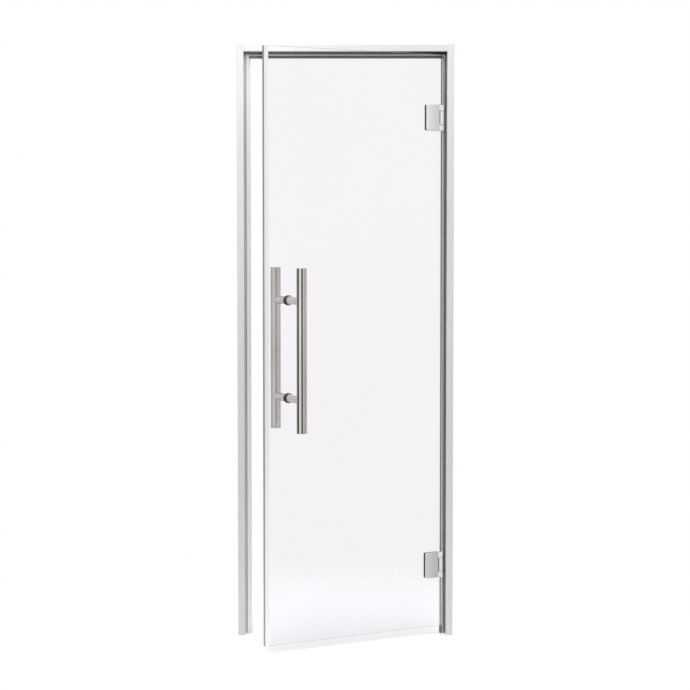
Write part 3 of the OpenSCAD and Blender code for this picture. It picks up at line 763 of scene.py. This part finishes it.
def makeBar(name, tubeNode, capNode):
    low, high = leafBox(tubeNode)
    radius = (high.x - low.x) / 2
    centre = ((low.x + high.x) / 2, (low.y + high.y) / 2, 0)
    tube = addRod(name + "_tube", radius, low.z, high.z, up, sides["bar"], centre)
    openEdit(tube)
    pick(tube, "FACE", lambda face: abs(face.normal.z) > 0.9)
    bpy.ops.mesh.delete(type="FACE")
    closeEdit()
    applyModifier(tube, "SOLIDIFY", thickness=handleShape["tubeWall"], offset=-1)
    finishOnLeaf(tube, barFinish, [tubeNode])
    rim = leafBox(capNode)[1].z - high.z
    for part, inner, way in (("top", high.z, 1), ("bottom", low.z, -1)):
        outer = inner + way * rim
        cap = addRod(name + "_cap_" + part, radius, min(inner, outer), max(inner, outer), up,
                     sides["bar"], centre)
        openEdit(cap)
        pick(cap, "EDGE", lyingAt(2, outer))
        bpy.ops.mesh.bevel(offset=handleShape["rim"], segments=4)
        pick(cap, "FACE", lyingAt(2, inner))
        bpy.ops.mesh.inset(thickness=handleShape["tubeWall"] + handleShape["play"])
        bpy.ops.mesh.extrude_region_move(
            TRANSFORM_OT_translate={"value": (0, 0, -way * handleShape["plugDeep"])})
        closeEdit()
        finishOnLeaf(cap, barFinish, [capNode] if part == "top" else ())


def makePost(name, node, barNode, side):
    low, high = leafBox(node)
    barLow, barHigh = leafBox(barNode)
    barR = (barHigh.x - barLow.x) / 2
    barY = (barLow.y + barHigh.y) / 2
    x = (low.x + high.x) / 2
    z = (low.z + high.z) / 2
    # a collar on the washer, a slimmer neck, and a saddle against the bar
    foot = high.y if side < 0 else low.y
    collar = foot + side * handleShape["collarDeep"]
    post = addRod(name, (high.x - low.x) / 2, min(foot, collar), max(foot, collar), alongY,
                  sides["round"], (x, 0, z))
    openEdit(post)
    pick(post, "FACE", lyingAt(1, collar))
    bpy.ops.mesh.inset(thickness=handleShape["collarStep"])
    bpy.ops.mesh.extrude_region_move(TRANSFORM_OT_translate={"value": (0, barY - collar, 0)})
    closeEdit()
    reach = handleShape["saddleHalf"]
    saddle = addRod("saddleCutter", barR + handleShape["saddlePlay"], z - reach, z + reach, up,
                    sides["bar"], (x, barY, 0))
    combine(post, saddle)
    # bored for the stud, and from below for the grub screw
    mouth = foot - side * handleShape["past"]
    bottom = foot + side * handleShape["studDeep"]
    bore = addRod("boreCutter", handleShape["studR"] + handleShape["play"], min(mouth, bottom),
                  max(mouth, bottom), alongY, sides["bore"], (x, 0, z))
    combine(post, bore)
    grub = addRod("grubCutter", handleShape["grubR"] + handleShape["play"], z - handleShape["grubDeep"], z,
                  up, sides["bore"], (x, foot + side * handleShape["grubIn"], 0))
    combine(post, grub)
    softenEdges(post, handleShape["edge"], 3)
    finishOnLeaf(post, postFinish, [node])


def makeWashers(name, node):
    low, high = leafBox(node)
    x, radius, (lowerZ, upperZ) = pairIn(low, high)
    boreR = handleShape["studR"] + handleShape["play"]
    over = handleShape["boreOver"]
    for part, z in (("upper", upperZ), ("lower", lowerZ)):
        washer = addRod(name + "_" + part, radius, low.y, high.y, alongY, sides["round"], (x, 0, z))
        bore = addRod("boreCutter", boreR, low.y - over, high.y + over, alongY, sides["bore"], (x, 0, z))
        combine(washer, bore)
        softenEdges(washer, handleShape["washerEdge"], 3)
        finishOnLeaf(washer, blackRubber, [node] if part == "upper" else ())


for half, side in (("outer", -1), ("inner", 1)):
    makeBar(half + "_pull", half + "_bar", half + "_bar_caps")
    for level in ("upper", "lower"):
        makePost(f"{half}_pull_{level}_post", f"{half}_{level}_post", half + "_bar", side)
    makeWashers(half + "_rubber_washer", half + "_washers")
print("handle made")


# CAD pieces that stay get their finish in place
stays = {
    "strike_corner_block": screwFinish, "hinge_corner_block": screwFinish,
    "corner_screws": screwFinish, "strike_magnet": magnetFinish, "edge_magnet": magnetFinish,
    "upper_hinge_bushes": nylonFinish, "lower_hinge_bushes": nylonFinish,
    "upper_hinge_front_pad": blackRubber, "lower_hinge_front_pad": blackRubber,
    "upper_hinge_rear_pad": blackRubber, "lower_hinge_rear_pad": blackRubber,
    "upper_hinge_pin": screwFinish, "lower_hinge_pin": screwFinish,
    "glass_sleeves": sealFinish, "handle_studs": screwFinish,
    "bar_screws": screwFinish, "post_grub_screws": screwFinish,
}
for node, finish in stays.items():
    for place in frame["nodes"][node].material_slots:
        place.material = finish
print("kept nodes dressed:", len(stays))


# a pale floor that thins out towards its rim, so that it has no horizon
floorLook = {
    "radius": 9.0, "below": 0.0005, "tone": (0.90, 0.90, 0.90, 1), "rough": 0.9,
    "gloss": 0.1, "glow": 0.20, "fade": (0.35, 1.4),
}


def makeFloor():
    bpy.ops.mesh.primitive_circle_add(
        vertices=sides["round"], radius=floorLook["radius"], fill_type="NGON",
        location=(0, 0, -floorLook["below"]),
    )
    floor = startPiece("pale_floor")
    material, tree, shader = newMaterial(
        "pale floor", Base_Color=floorLook["tone"], Roughness=floorLook["rough"],
        Specular_IOR_Level=floorLook["gloss"], Emission_Color=(1, 1, 1, 1),
        Emission_Strength=floorLook["glow"],
    )
    place = tree.nodes.new("ShaderNodeTexCoord")
    far = tree.nodes.new("ShaderNodeVectorMath")
    far.operation = "LENGTH"
    tree.links.new(place.outputs["Object"], far.inputs[0])
    fade = rangeNode(tree, far.outputs["Value"], floorLook["fade"], (1, 0), True)
    tree.links.new(fade, shader.inputs["Alpha"])
    floor.data.materials.append(material)
    floor.visible_glossy = False  # it doesn't mirror in the door


# how bright the studio is in each direction round the door, in degrees from the front
studioRing = [
    (-180, 0.78), (-142, 0.78), (-128, 0.20), (-68, 0.03), (-60, 0.98), (-30, 1.12),
    (-12, 1.0), (-5, 0.14), (20, 0.11), (29, 0.55), (38, 0.92), (48, 0.90),
    (64, 0.58), (88, 0.62), (112, 0.85), (134, 0.85), (146, 0.34), (160, 0.34), (172, 0.78),
]
studioLook = {
    "rise": (-0.22, 0.10), "riseTone": (0.74, 1.18), "overheadFrom": (0.35, 0.75),
    "overheadTone": 0.92, "behindGlass": 0.68,
}


def ringTone(tree, direction):
    forward = mathNode(tree, "MULTIPLY", direction["Y"], -1)
    angle = mathNode(tree, "ARCTAN2", direction["X"], forward)
    ring = tree.nodes.new("ShaderNodeValToRGB")
    stops = ring.color_ramp.elements
    while len(stops) < len(studioRing):
        stops.new(0.5)
    for stop, (degrees, tone) in zip(stops, studioRing):
        stop.position = (degrees + 180) / 360
        stop.color = (tone, tone, tone, 1)
    tree.links.new(rangeNode(tree, angle, (-math.pi, math.pi), (0, 1)), ring.inputs["Fac"])
    return ring.outputs["Color"]


def makeStudio():
    world = bpy.data.worlds.new("studio")
    bpy.context.scene.world = world
    world.use_nodes = True
    tree = world.node_tree
    tree.nodes.clear()
    place = tree.nodes.new("ShaderNodeTexCoord")
    split = tree.nodes.new("ShaderNodeSeparateXYZ")
    tree.links.new(place.outputs["Generated"], split.inputs["Vector"])
    # brighter upwards, and nearly white overhead
    rise = rangeNode(tree, split.outputs["Z"], studioLook["rise"], studioLook["riseTone"])
    level = mathNode(tree, "MULTIPLY", ringTone(tree, split.outputs), rise)
    overhead = rangeNode(tree, split.outputs["Z"], studioLook["overheadFrom"], (0, 1), True)
    # what stands behind the glass sees a paler studio
    path = tree.nodes.new("ShaderNodeLightPath").outputs
    behind = mathNode(tree, "GREATER_THAN", path["Transmission Depth"], 0.5)
    soften = mathNode(tree, "MULTIPLY", behind, studioLook["behindGlass"])
    blend = tree.nodes.new("ShaderNodeMix")
    blend.inputs["B"].default_value = studioLook["overheadTone"]
    tree.links.new(mathNode(tree, "MAXIMUM", overhead, soften), blend.inputs["Factor"])
    tree.links.new(level, blend.inputs["A"])
    # the backdrop itself is plain white, straight or through glass
    bounces = mathNode(tree, "ADD", path["Glossy Depth"], path["Diffuse Depth"])
    straight = mathNode(tree, "LESS_THAN", bounces, 0.5)
    through = mathNode(tree, "MULTIPLY", path["Is Transmission Ray"], straight)
    direct = mathNode(tree, "MAXIMUM", path["Is Camera Ray"], through)
    studio = tree.nodes.new("ShaderNodeBackground")
    plain = tree.nodes.new("ShaderNodeBackground")
    mix = tree.nodes.new("ShaderNodeMixShader")
    out = tree.nodes.new("ShaderNodeOutputWorld")
    plain.inputs["Color"].default_value = (1, 1, 1, 1)
    tree.links.new(blend.outputs["Result"], studio.inputs["Color"])
    tree.links.new(direct, mix.inputs["Fac"])
    tree.links.new(studio.outputs["Background"], mix.inputs[1])
    tree.links.new(plain.outputs["Background"], mix.inputs[2])
    tree.links.new(mix.outputs["Shader"], out.inputs["Surface"])


softboxes = {
    "overhead_softbox": {"place": (0, -0.4, 4.6), "aim": (0, -0.2, 0), "size": (4.5, 4.5), "watts": 32},
    "key_softbox": {"place": (-1.3, -4.95, 2.5), "aim": (0, 0, 1), "size": (1.8, 2.2), "watts": 24},
    "front_softbox": {"place": (0.3, -3.2, 4.0), "aim": (0, 0, 1), "size": (2.6, 1.6), "watts": 48},
}


def addSoftbox(name, look):
    data = bpy.data.lights.new(name, "AREA")
    data.shape = "RECTANGLE"
    data.size, data.size_y = look["size"]
    data.energy = look["watts"]
    box = bpy.data.objects.new(name, data)
    bpy.context.scene.collection.objects.link(box)
    box.location = look["place"]
    aim = Vector(look["aim"]) - Vector(look["place"])
    box.rotation_euler = aim.to_track_quat("-Z", "Y").to_euler()
    box.visible_camera = False
    box.visible_transmission = False


cameraView = {
    "distance": 5.685, "height": 1.307, "downDegrees": 2.96,
    "lens": 93.06, "shift": (-0.0006, -0.035), "clip": (0.05, 60),
}


def makeCamera():
    data = bpy.data.cameras.new("studio_camera")
    camera = bpy.data.objects.new("studio_camera", data)
    bpy.context.scene.collection.objects.link(camera)
    camera.location = (0, -cameraView["distance"], cameraView["height"])
    camera.rotation_euler = (math.radians(90 - cameraView["downDegrees"]), 0, 0)
    data.lens = cameraView["lens"]
    data.shift_x, data.shift_y = cameraView["shift"]
    data.clip_start, data.clip_end = cameraView["clip"]
    bpy.context.scene.camera = camera


makeFloor()
makeStudio()
for name, look in softboxes.items():
    addSoftbox(name, look)
makeCamera()
bpy.context.scene.view_settings.view_transform = "Standard"
print("stage, light and camera set")
